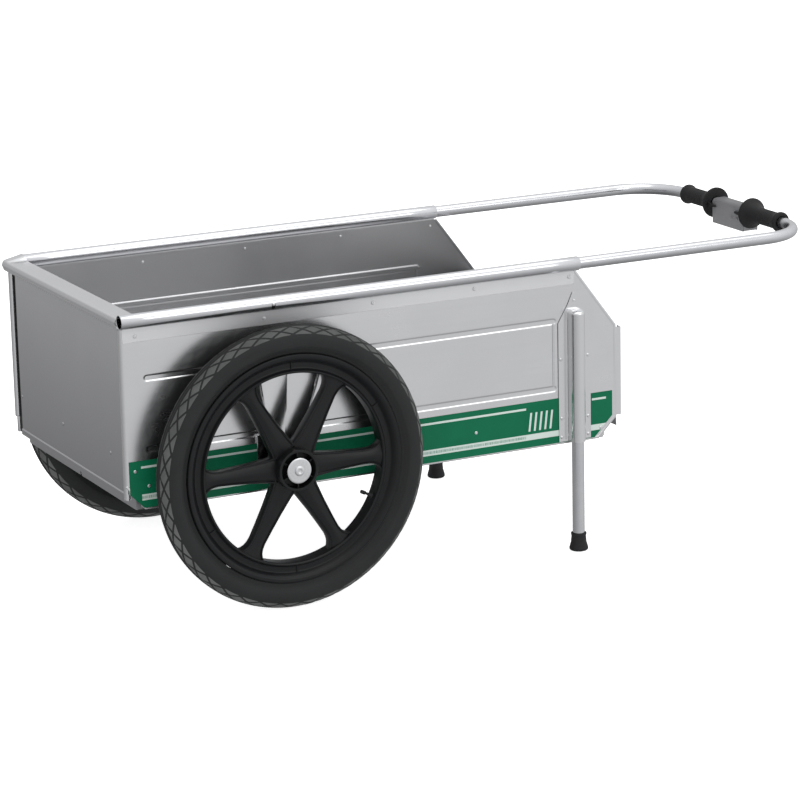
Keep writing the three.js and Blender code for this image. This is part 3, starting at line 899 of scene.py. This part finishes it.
def legBracket(side, sign):
    # Plate with a half-round channel for the leg, closed by a dome under the pointed top.
    s = legSettings
    base = panelOut + mm(1.7)
    wall = legY - base
    radius = s["channel"]
    profile = [(-s["plateHalf"], 0), (-28, 0), (-20, 0), (-radius - 2.4, 0), (-radius - 0.9, 0.5),
               (-radius, 2.4), (-radius, wall * 1000)]
    arcSteps = 16
    for n in range(1, arcSteps):
        angle = math.pi * n / arcSteps
        profile.append((-radius * math.cos(angle), wall * 1000 + radius * math.sin(angle)))
    profile += [(-u, v) for u, v in reversed(profile[:7])]
    levels = stations(s["bottom"], s["tip"], 22, [(s["domeTop"] - 5, 6, 0.8), (s["shoulder"], 1, 1)])

    def place(i, j):
        u, v = profile[i]
        z = levels[j]
        narrow = 1 if z <= s["shoulder"] else max((s["tip"] - z) / (s["tip"] - s["shoulder"]), 0.1)
        closing = min(max((z - s["domeTop"]) / s["domeRise"] + 1, 0), 1)
        swell = math.sqrt(max(1 - closing ** 2, 0))
        flat = abs(u) > radius + 2.4
        width = u * narrow if flat else u * min(0.25 + 0.75 * swell, narrow * s["plateHalf"] / (radius + 4))
        inner = radius * (0.25 + 0.75 * swell) + 3
        if flat:
            width = math.copysign(max(abs(width), min(inner, s["plateHalf"] * narrow)), u)
        return legX + mm(width), sign * (base + mm(v * swell)), mm(z)

    channel = sheetMetal("channel", len(profile), len(levels), place, mm(1.5), smoothAngle=34)
    parts = [channel]
    for x, z in s["rivets"]:
        parts.append(rivet((legX + mm(x), sign * (base + mm(0.7)), mm(z)), (0, sign, 0), mm(3.2), mm(1.6)))
    dress(gather(f"{side}_leg_channel", parts), f"{side}_side", "bracket_aluminium", [f"{side}_leg_bracket"])


def leg(side, sign):
    low, high = (Vector(corner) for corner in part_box(f"{side}_leg_tube"))
    radius = (high.x - low.x) / 2
    centre = (legX, sign * legY, 0)
    profile = [(radius - mm(1.4), low.z), (radius, low.z), (radius, high.z - mm(0.6)),
               (radius - mm(0.5), high.z), (radius - mm(1.4), high.z)]
    tube = turned(f"{side}_leg", "z", profile, centre, 56)
    dress(tube, f"{side}_leg", "tube_aluminium", [f"{side}_leg_tube"])
    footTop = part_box(f"{side}_leg_foot")[1][2] * 1000
    outline = rounded([(0, 0), (15, 0), (17.6, 2), (17.8, 5), (14.4, 19), (13.6, footTop - 5),
                       (14.6, footTop - 4), (14.6, footTop), (11.8, footTop), (11.8, 18), (0, 18)],
                      1.2, 3, closed=False)
    dress(turned(f"{side}_foot", "z", [(mm(r), mm(z)) for r, z in outline], centre, 56, False,
                 ripple=lambda point, turn: -mm(0.5) if point in (9, 13) else 0),
          f"{side}_leg", "soft_rubber", [f"{side}_leg_foot"])
    out = sign * (legY + radius)
    knob = rounded([(0, 0.4), (2.4, 0.3), (3.7, -1.2), (3.7, -5), (5, -5), (5, -7.4), (0, -7.4)],
                   0.6, 3, closed=False)
    dress(turned(f"{side}_snap_button", "y", [(mm(r), out + sign * mm(y)) for r, y in knob],
                 (legX, 0, mm(legSettings["buttonZ"])), 32, False),
          f"{side}_button", "steel", [f"{side}_leg_button"])


for side, sign in sides.items():
    axleBracket(side, sign)
    legBracket(side, sign)
    leg(side, sign)
print("brackets and legs done")

# handle

handleSettings = {"bend": 108, "wall": 1.5, "gripRadius": 15.6, "endBead": 19.5, "flange": 30, "ribs": 9}


def handleTube(side, sign):
    s = handleSettings
    low, high = (Vector(corner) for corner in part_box(f"{side}_handle_tube"))
    radius = (high.z - low.z) / 2
    tip = min(abs(low.y), abs(high.y))
    bend = mm(s["bend"])
    path = [Vector((low.x + (crossbarX - bend - low.x) * n / 12, sign * railY, railZ)) for n in range(12)]
    for n in range(25):
        angle = math.pi / 2 * n / 24
        path.append(Vector((crossbarX - bend + bend * math.sin(angle),
                            sign * (railY - bend + bend * math.cos(angle)), railZ)))
    path.append(Vector((crossbarX, sign * tip, railZ)))
    dress(swept(f"{side}_handle", path, radius, 48, mm(s["wall"])), f"{side}_handle", "tube_aluminium",
          [f"{side}_handle_tube"])


def gripSleeve(side, sign):
    s = handleSettings
    low, high = (Vector(corner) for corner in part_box(f"{side}_grip"))
    inner, outer = sorted(abs(value) * 1000 for value in (low.y, high.y))
    grip, flange = s["gripRadius"], s["flange"]
    outline = [(11.3, outer), (17.5, outer), (s["endBead"], outer - 3), (s["endBead"], outer - 7),
               (grip + 0.6, outer - 15), (grip, outer - 24), (grip, inner + 34), (grip + 2.2, inner + 24),
               (22.5, inner + 13), (28, inner + 7), (flange, inner + 4.5), (flange, inner + 1),
               (28.5, inner), (11.3, inner)]
    outline = rounded(outline, 4, 4)
    profile = [(mm(r), sign * mm(y)) for r, y in outline]
    parts = [turned("grip", "y", profile, (crossbarX, 0, railZ), 80)]
    for n in range(s["ribs"]):
        along = outer - 26 - n * (outer - inner - 60) / (s["ribs"] - 1)
        ring = [(grip - 1, along - 2.4), (grip + 0.45, along - 1.6), (grip + 0.45, along + 1.6),
                (grip - 1, along + 2.4)]
        profile = [(mm(r), sign * mm(y)) for r, y in rounded(ring, 0.8, 2)]
        parts.append(turned("rib", "y", profile, (crossbarX, 0, railZ), 80))
    dress(gather(f"{side}_grip_sleeve", parts), f"{side}_handle", "soft_rubber", [f"{side}_grip"])


def centreBracket():
    # Inverted channel with rounded shoulders; moulded tongues reach along it from the near grip.
    low, high = (Vector(corner) * 1000 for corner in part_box("handle_bracket"))
    railMid = railZ * 1000
    half, wall = (high.x - low.x) / 2, 2.6
    top, bottom = high.z - railMid, low.z - railMid
    outside = rounded([(-half + 1, bottom), (-half, top), (half, top), (half - 1, bottom)],
                      11, 8, closed=False)
    inside = rounded([(half - wall - 1, bottom), (half - wall, top - wall), (-half + wall, top - wall),
                      (-half + wall + 1, bottom)], 8.5, 8, closed=False)
    place = lambda u, v, w: (crossbarX + mm(u), w, railZ + mm(v))
    shell = extruded("channel", outside + inside, place, mm(low.y), mm(high.y), steps=2)
    bevelled(shell, mm(0.8), 2, 50)
    webOutline = [(-half + 2, bottom + 1), (half - 2, bottom + 1), (half - 2, top - 2), (-half + 2, top - 2)]
    parts = [shell, extruded("web", webOutline, place, mm(low.y), mm(low.y + 3.5))]
    for x in (-1, 1):
        for y in (low.y + 22, low.y + 40):
            spot = (crossbarX + x * mm(half - 0.4), mm(y), railZ + mm(-14))
            parts.append(rivet(spot, (x, 0, 0), mm(3.6), mm(1.6)))
    dress(gather("handle_channel", parts), "near_handle", "grey_plastic", ["handle_bracket"])


def tongue(side, sign):
    # Tapered rib moulded on the flange, pointing along the bracket's front face.
    inner = min(abs(value) for value in (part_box(f"{side}_grip")[0][1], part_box(f"{side}_grip")[1][1]))
    start, length = inner + mm(1), mm(29)
    face = crossbarX - mm(18.2)
    outline = [(0, -5), (length * 1000, -1.8), (length * 1000, 1.8), (0, 5)]
    place = lambda u, v, w: (face - w, sign * (start - mm(u)), railZ + mm(v - 1))
    piece = extruded(f"{side}_tongue", outline, place, 0, mm(3.4))
    bevelled(piece, mm(0.9), 3)
    dress(piece, f"{side}_handle", "soft_rubber")


for side, sign in sides.items():
    handleTube(side, sign)
    gripSleeve(side, sign)
centreBracket()
for side, sign in sides.items():
    tongue(side, sign)
print("handle done")

# gates

gateSettings = {
    "sheet": 1.4, "hem": 10, "bead": 5.2, "gap": {-1: 4, 1: 9}, "footHeight": {-1: 0, 1: 32},
    "rivets": ((-192, 291), (38, 291), (247, 296)),
}


def frontGate():
    s = gateSettings
    low, high = (Vector(corner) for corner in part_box("front_gate_panel"))
    face = high.x - mm(s["sheet"])
    across = stations(low.y + mm(s["gap"][-1]), high.y - mm(s["gap"][1]), mm(30), [])
    up = stations(low.z, high.z, mm(25), [(low.z + mm(s["hem"]), mm(2), mm(0.5))])

    def place(i, j):
        y, z = across[i], up[j]
        hem = mm(2.2) * (1 - smoothStep((z - low.z - mm(s["hem"] - 1)) / mm(2)))
        wave = mm(1.1) * noise.noise(Vector((1.3, y * 5, z * 6)))
        return face - hem + wave, y, z

    parts = [sheetMetal("sheet", len(across), len(up), place, mm(s["sheet"]), smoothAngle=50)]
    for y, z in s["rivets"]:
        parts.append(rivet((face - mm(0.4), mm(y), mm(z)), (-1, 0, 0), mm(3.4), mm(1.5)))
    dress(gather("front_gate_sheet", parts), "front_gate", "panel_aluminium", ["front_gate_panel"],
          "gate_aluminium")


def gateStile(node, outerSign):
    # Post down the gate's edge: an open round bead with a flat web behind it, and a dark strip against the
    # sheet as painted shade in the groove.
    s = gateSettings
    low, high = (Vector(corner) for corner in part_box(node))
    outer = low.y if outerSign < 0 else high.y
    width = high.y - low.y + mm(s["gap"][outerSign] - 5)
    bead = mm(s["bead"])
    foot = low.z + mm(s["footHeight"][outerSign])
    levels = stations(foot, high.z, mm(60), [(foot + mm(4), mm(4), mm(1))])
    front = low.x
    steps = 20

    def place(i, j):
        # three quarters of a round tube, open towards the sheet
        angle = math.radians(-40 + 290 * i / steps)
        squeeze = 0.9 if j == 0 else 1
        across = bead - bead * squeeze * math.cos(angle)
        return front + bead - bead * squeeze * math.sin(angle), outer - outerSign * across, levels[j]

    parts = [sheetMetal(f"{node}_bead", steps + 1, len(levels), place, mm(1.2), smoothAngle=40)]
    inside = outer - outerSign * bead
    parts.append(platePiece("web", (front + mm(12), front + mm(13.4)),
                            sorted((inside, inside - outerSign * width)), (low.z, high.z), mm(0.4)))
    if outerSign > 0:
        # flattened foot under the bead's joint
        parts.append(platePiece("foot", (front + mm(3), front + mm(11)), (outer - mm(10), outer - mm(1.5)),
                                (low.z + mm(1), foot + mm(1)), mm(2.5)))
    dress(gather(f"{node}_post", parts), "front_gate", "panel_aluminium", [node], "bracket_aluminium")
    # dark strip in the groove between the bead and the sheet: painted shade, standing in for the groove's
    # shadow
    start = outer - outerSign * bead * 1.9
    end = start - outerSign * mm(5 + s["gap"][outerSign])
    groove_shade = platePiece(f"{node}_seal", (front + mm(8), front + mm(11.8)), sorted((start, end)),
                      (low.z, high.z), mm(0.6))
    dress(groove_shade, "front_gate", "soft_rubber")


def gateCap():
    # Folded cap: flat top, rounded nose with two folds below it; its far end rises over the far rail's mouth.
    low, high = (Vector(corner) * 1000 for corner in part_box("front_gate_cap"))
    depth, tall = high.x - low.x, high.z - low.z
    outline = rounded([(depth, tall - 1), (2.5, tall), (0, tall - 8), (0.5, 7), (2.5, 6.2), (2.5, 0),
                       (22, 0)], 3.2, 5, closed=False)
    ends = stations(mm(low.y), mm(high.y - 3), mm(60), [(mm(high.y - 20), mm(18), mm(2))])

    def place(i, j):
        x, z = outline[i]
        y = ends[j] * 1000
        turn = smoothStep((y - high.y + 12) / 12)
        rise = 9.5 * smoothStep((y - high.y + 36) / 9) * max(x, 0) / depth if z > 7 else 0
        z = 7 + (z - 7) * (1 - 0.22 * turn) if z > 7 else z
        return mm(low.x + x + (depth - x) * 0.1 * turn), ends[j], mm(low.z + z + rise)

    cap = sheetMetal("cap", len(outline), len(ends), place, mm(1.3), smoothAngle=35)
    shut = [(x, z) for x, z in outline[:-1]] + [(depth, 0)]
    end = extruded("end", shut, lambda u, v, w: (
        mm(low.x + u * 0.92 + depth * 0.05), w, mm(low.z + v * 0.78 + 0.4 + max(u, 0) / depth * 9 * (v > 7))),
        mm(high.y - 8), mm(high.y - 1))
    bevelled(end, mm(1.5), 3, 40)
    back = platePiece("back", (mm(high.x - 3), mm(high.x - 1)), (mm(high.y - 30), mm(high.y - 4)),
                      (mm(low.z + 1), mm(high.z + 7)), mm(1))
    dress(gather("front_gate_fold", [cap, end, back]), "front_gate", "panel_aluminium", ["front_gate_cap"],
          "bracket_aluminium")


rearGateSettings = {"sheet": 1.4, "beadZ": 318, "beadHalf": 7, "beadEnd": 235, "beadDepth": 2.2, "hem": 8}


def rearGate():
    s = rearGateSettings
    beadZ = mm(s["beadZ"])
    low, high = (Vector(corner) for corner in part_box("rear_gate_panel"))
    across = stations(low.y, high.y, mm(30), [(0, mm(8), mm(2))])
    up = stations(low.z, high.z, mm(20), [(beadZ, mm(9), mm(1))])

    def place(i, j):
        y, z = across[i], up[j]
        bead = mm(s["beadDepth"]) * smoothStep((mm(s["beadHalf"]) - abs(z - beadZ)) / mm(3))
        bead *= smoothStep((mm(s["beadEnd"]) - abs(y)) / mm(6))
        hem = mm(s["sheet"]) * (1 - smoothStep((z - low.z - mm(s["hem"])) / mm(2)))
        return low.x + mm(2) + bead + hem, y, z

    sheet = sheetMetal("rear_gate_sheet", len(across), len(up), place, mm(s["sheet"]), smoothAngle=50)
    dress(sheet, "rear_gate", "panel_aluminium", ["rear_gate_panel"], "gate_aluminium")
    low, high = (Vector(corner) * 1000 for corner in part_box("rear_gate_cap"))
    outline = rounded([(0, 0), (0, high.z - low.z), (high.x - low.x, high.z - low.z), (high.x - low.x, 0)],
                      3, 6, closed=False)
    place = lambda i, j: (mm(low.x + outline[i][0]), mm((low.y, high.y)[j]), mm(low.z + outline[i][1]))
    cap = sheetMetal("rear_gate_fold", len(outline), 2, place, mm(1.2), smoothAngle=35)
    dress(cap, "rear_gate", "panel_aluminium", ["rear_gate_cap"], "bracket_aluminium")


frontGate()
gateStile("front_gate_near_stile", -1)
gateStile("front_gate_far_stile", 1)
gateCap()
rearGate()
print("gates done")

# bed

bedSettings = {"beads": 5, "beadHalf": 8, "beadDepth": 2.2, "beadInset": 34, "wall": 1.4, "outer": 261}


def bedLeaf(side, sign):
    # Pan with pressed lengthwise beads and turned-down edges; its hinge barrels stay as in the frame.
    s = bedSettings
    low, high = (Vector(corner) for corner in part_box(f"bed_{side}"))
    pin = middle("centre_hinge_pin").z
    inner, outer = mm(4.8), mm(s["outer"])
    top, bottom = mm(222), pin + mm(1.5)
    width = outer - inner
    beads = [inner + width * (n + 0.5) / s["beads"] for n in range(s["beads"])]
    across = stations(inner, outer, mm(30), [(bead, mm(10), mm(2)) for bead in beads])
    along = stations(low.x, high.x, mm(60), [(low.x + mm(40), mm(8), mm(2)), (high.x - mm(40), mm(8), mm(2))])
    skirt = 3

    def edge(values, index, extra):
        return values[min(max(index - extra, 0), len(values) - 1)]

    def place(i, j):
        y, x = edge(across, i, skirt), edge(along, j, skirt)
        outside = max(skirt - i, i - skirt - len(across) + 1, skirt - j, j - skirt - len(along) + 1, 0)
        fall = (0, mm(1.2), mm(12), top - bottom)[outside]
        if outside:
            return x, sign * y, top - fall
        inset = mm(s["beadInset"])
        ends = smoothStep((x - low.x - inset) / mm(10)) * smoothStep((high.x - inset - x) / mm(10))
        dip = max(smoothStep((mm(s["beadHalf"]) - abs(y - bead)) / mm(4)) for bead in beads)
        return x, sign * y, top - mm(s["beadDepth"]) * dip * ends - mm(0.2)

    def keep(i, j):
        offI = i < skirt or i >= skirt + len(across) - 1
        offJ = j < skirt or j >= skirt + len(along) - 1
        return not (offI and offJ)

    pan = sheetMetal("pan", len(across) + 2 * skirt, len(along) + 2 * skirt, place, mm(s["wall"]), keep, 40)
    parts = [pan] + barrels(side, sign, low, high, top, pin, inner, outer)
    dress(gather(f"bed_{side}_leaf", parts), f"bed_{side}_leaf", "panel_aluminium", [f"bed_{side}"],
          "gate_aluminium")


def barrels(side, sign, low, high, top, pin, inner, outer):
    # Hinge barrels: every second place along the outer pin, the rest alternate along the centre pin.
    hinge = abs(middle(f"{side}_hinge_pin").y)
    places = 5
    length = (high.x - low.x - mm(8)) / places
    made = []
    for n in range(places):
        start, end = low.x + mm(4.5) + n * length, low.x + mm(3.5) + (n + 1) * length
        if n % 2 == 1:
            made.append(barrel(start, end, sign * hinge, top, mm(4.4), mm(2.9)))
            edges = sorted((sign * (hinge - mm(3)), sign * (outer - mm(1))))
            made.append(platePiece("tab", (start, end), edges, (top - mm(2.6), top - mm(0.6)), mm(0.4)))
        if n % 2 == (0 if side == "near" else 1):
            made.append(barrel(start, end, 0, pin, mm(3.9), mm(2.4)))
            edges = sorted((sign * mm(2.6), sign * (inner + mm(1))))
            made.append(platePiece("tab", (start, end), edges, (pin, pin + mm(3.5)), mm(0.4)))
    return made


def barrel(start, end, y, z, radius, bore):
    profile = [(bore, start), (radius - mm(0.4), start), (radius, start + mm(0.4)), (radius, end - mm(0.4)),
               (radius - mm(0.4), end), (bore, end)]
    return turned("barrel", "x", profile, (0, y, z), 28)


for side, sign in sides.items():
    bedLeaf(side, sign)
print("bed done")

# rivets on the side panels

rivetSettings = {
    "rail": ((-267, 515), (-23, 517), (189, 519), (393, 520), (589, 519)),
    "low": ((-276, 275), (-251, 246), (393, 251), (655, 225)),
}


def panelRivets(side, sign):
    s = rivetSettings
    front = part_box(f"{side}_side_panel")[0][0]
    parts = []
    for x, z in s["rail"] + s["low"]:
        place = axleX + mm(x)
        if place < front + mm(9):
            place = front + mm(9)
        proud = 2.2 if z > 500 else 0.7
        parts.append(rivet((place, sign * (panelOut + mm(proud - 0.6)), mm(z)), (0, sign, 0)))
        parts.append(rivet((place, sign * (panelOut - mm(1.6)), mm(z)), (0, -sign, 0), mm(2.6), mm(1.3)))
    dress(gather(f"{side}_rivets", parts), f"{side}_side", "steel")


for side, sign in sides.items():
    panelRivets(side, sign)
print("rivets done")

# finishes on the CAD pieces that stay in view

kept = {
    "label": "label_green", "axle_stub": "steel", "hinge_leaf": "bracket_aluminium", "hinge_pin": "steel",
    "bush_inner": "grey_plastic", "bush_outer": "grey_plastic",
}


def coat(node, slotName):
    nodes[node].data.materials.clear()
    nodes[node].data.materials.append(finish[slotName])


for side in sides:
    for piece, slotName in kept.items():
        coat(f"{side}_{piece}", slotName)
for node, slotName in {"centre_hinge_pin": "steel", "rear_gate_keeper": "bracket_aluminium"}.items():
    coat(node, slotName)

# studio

studio = {
    "cameraPlace": (-2.7512, -5.4281, 1.8229), "yaw": 0.4621, "pitch": -0.2532, "roll": -0.0219,
    "focal": 3310.75 * 36 / 800, "floorGlow": 0.85, "skyBase": 0.56, "skySide": 0.118, "skyUp": 0.42,
    "topLight": {"place": (0.6, -0.6, 3.4), "target": (0, 0, 0.3), "size": (3.6, 2.6), "power": 22},
    "frontLight": {"place": (1.6, -4.2, 2.6), "target": (0.2, 0, 0.3), "size": (2.4, 1.6), "power": 16},
}


def makeCamera():
    s = studio
    camera = bpy.data.objects.new("camera", bpy.data.cameras.new("camera"))
    bpy.context.collection.objects.link(camera)
    turn = (Matrix.Rotation(-s["yaw"], 4, "Z") @ Matrix.Rotation(math.pi / 2 + s["pitch"], 4, "X")
            @ Matrix.Rotation(s["roll"], 4, "Z"))
    camera.matrix_world = Matrix.Translation(s["cameraPlace"]) @ turn
    camera.data.lens = s["focal"]
    camera.data.sensor_width = 36
    camera.data.clip_end = 100
    bpy.context.scene.camera = camera


def softBox(name, place, target, size, power):
    light = bpy.data.lights.new(name, "AREA")
    light.shape = "RECTANGLE"
    light.size, light.size_y = size
    light.energy = power
    lamp = bpy.data.objects.new(name, light)
    lamp.location = place
    lamp.rotation_euler = (Vector(target) - Vector(place)).to_track_quat("-Z", "Y").to_euler()
    bpy.context.collection.objects.link(lamp)
    return lamp


class Sky(Look):
    # The world, wired with the same helpers; its axes are the direction looked in.
    def __init__(self, name):
        self.world = bpy.data.worlds.new(name)
        self.world.use_nodes = True
        self.tree = self.world.node_tree
        self.shader = self.tree.nodes["Background"]

    def place(self):
        return self.node("ShaderNodeTexCoord", output="Generated")


def makeStudio():
    s = studio
    floorLook = Look("paleFloor", Roughness=0.9, Specular_IOR_Level=0.0, Emission_Strength=s["floorGlow"])
    floorLook.shader.inputs["Emission Color"].default_value = (1, 1, 1, 1)
    floorLook.colour((0.85, 0.85, 0.85, 1))
    size = 60
    corners = [(-size, -size, 0), (size, -size, 0), (size, size, 0), (-size, size, 0)]
    floor = build("floor", corners, [(0, 1, 2, 3)])
    floor.location.z = -mm(0.5)
    floor.data.materials.append(floorLook.material)
    floor.visible_glossy = False
    sky = Sky("studio")
    x, y, z = sky.axes()
    level = s["skyBase"] + (x - y) * s["skySide"] + z * s["skyUp"]
    sky.feed(sky.shader.inputs["Color"], sky.blend(level, (0.02, 0.02, 0.021, 1), (0.98, 0.985, 1, 1)))
    bpy.context.scene.world = sky.world
    for name in ("topLight", "frontLight"):
        softBox(name, **s[name])
    bpy.context.scene.view_settings.view_transform = "Standard"


makeCamera()
makeStudio()
print("studio ready")
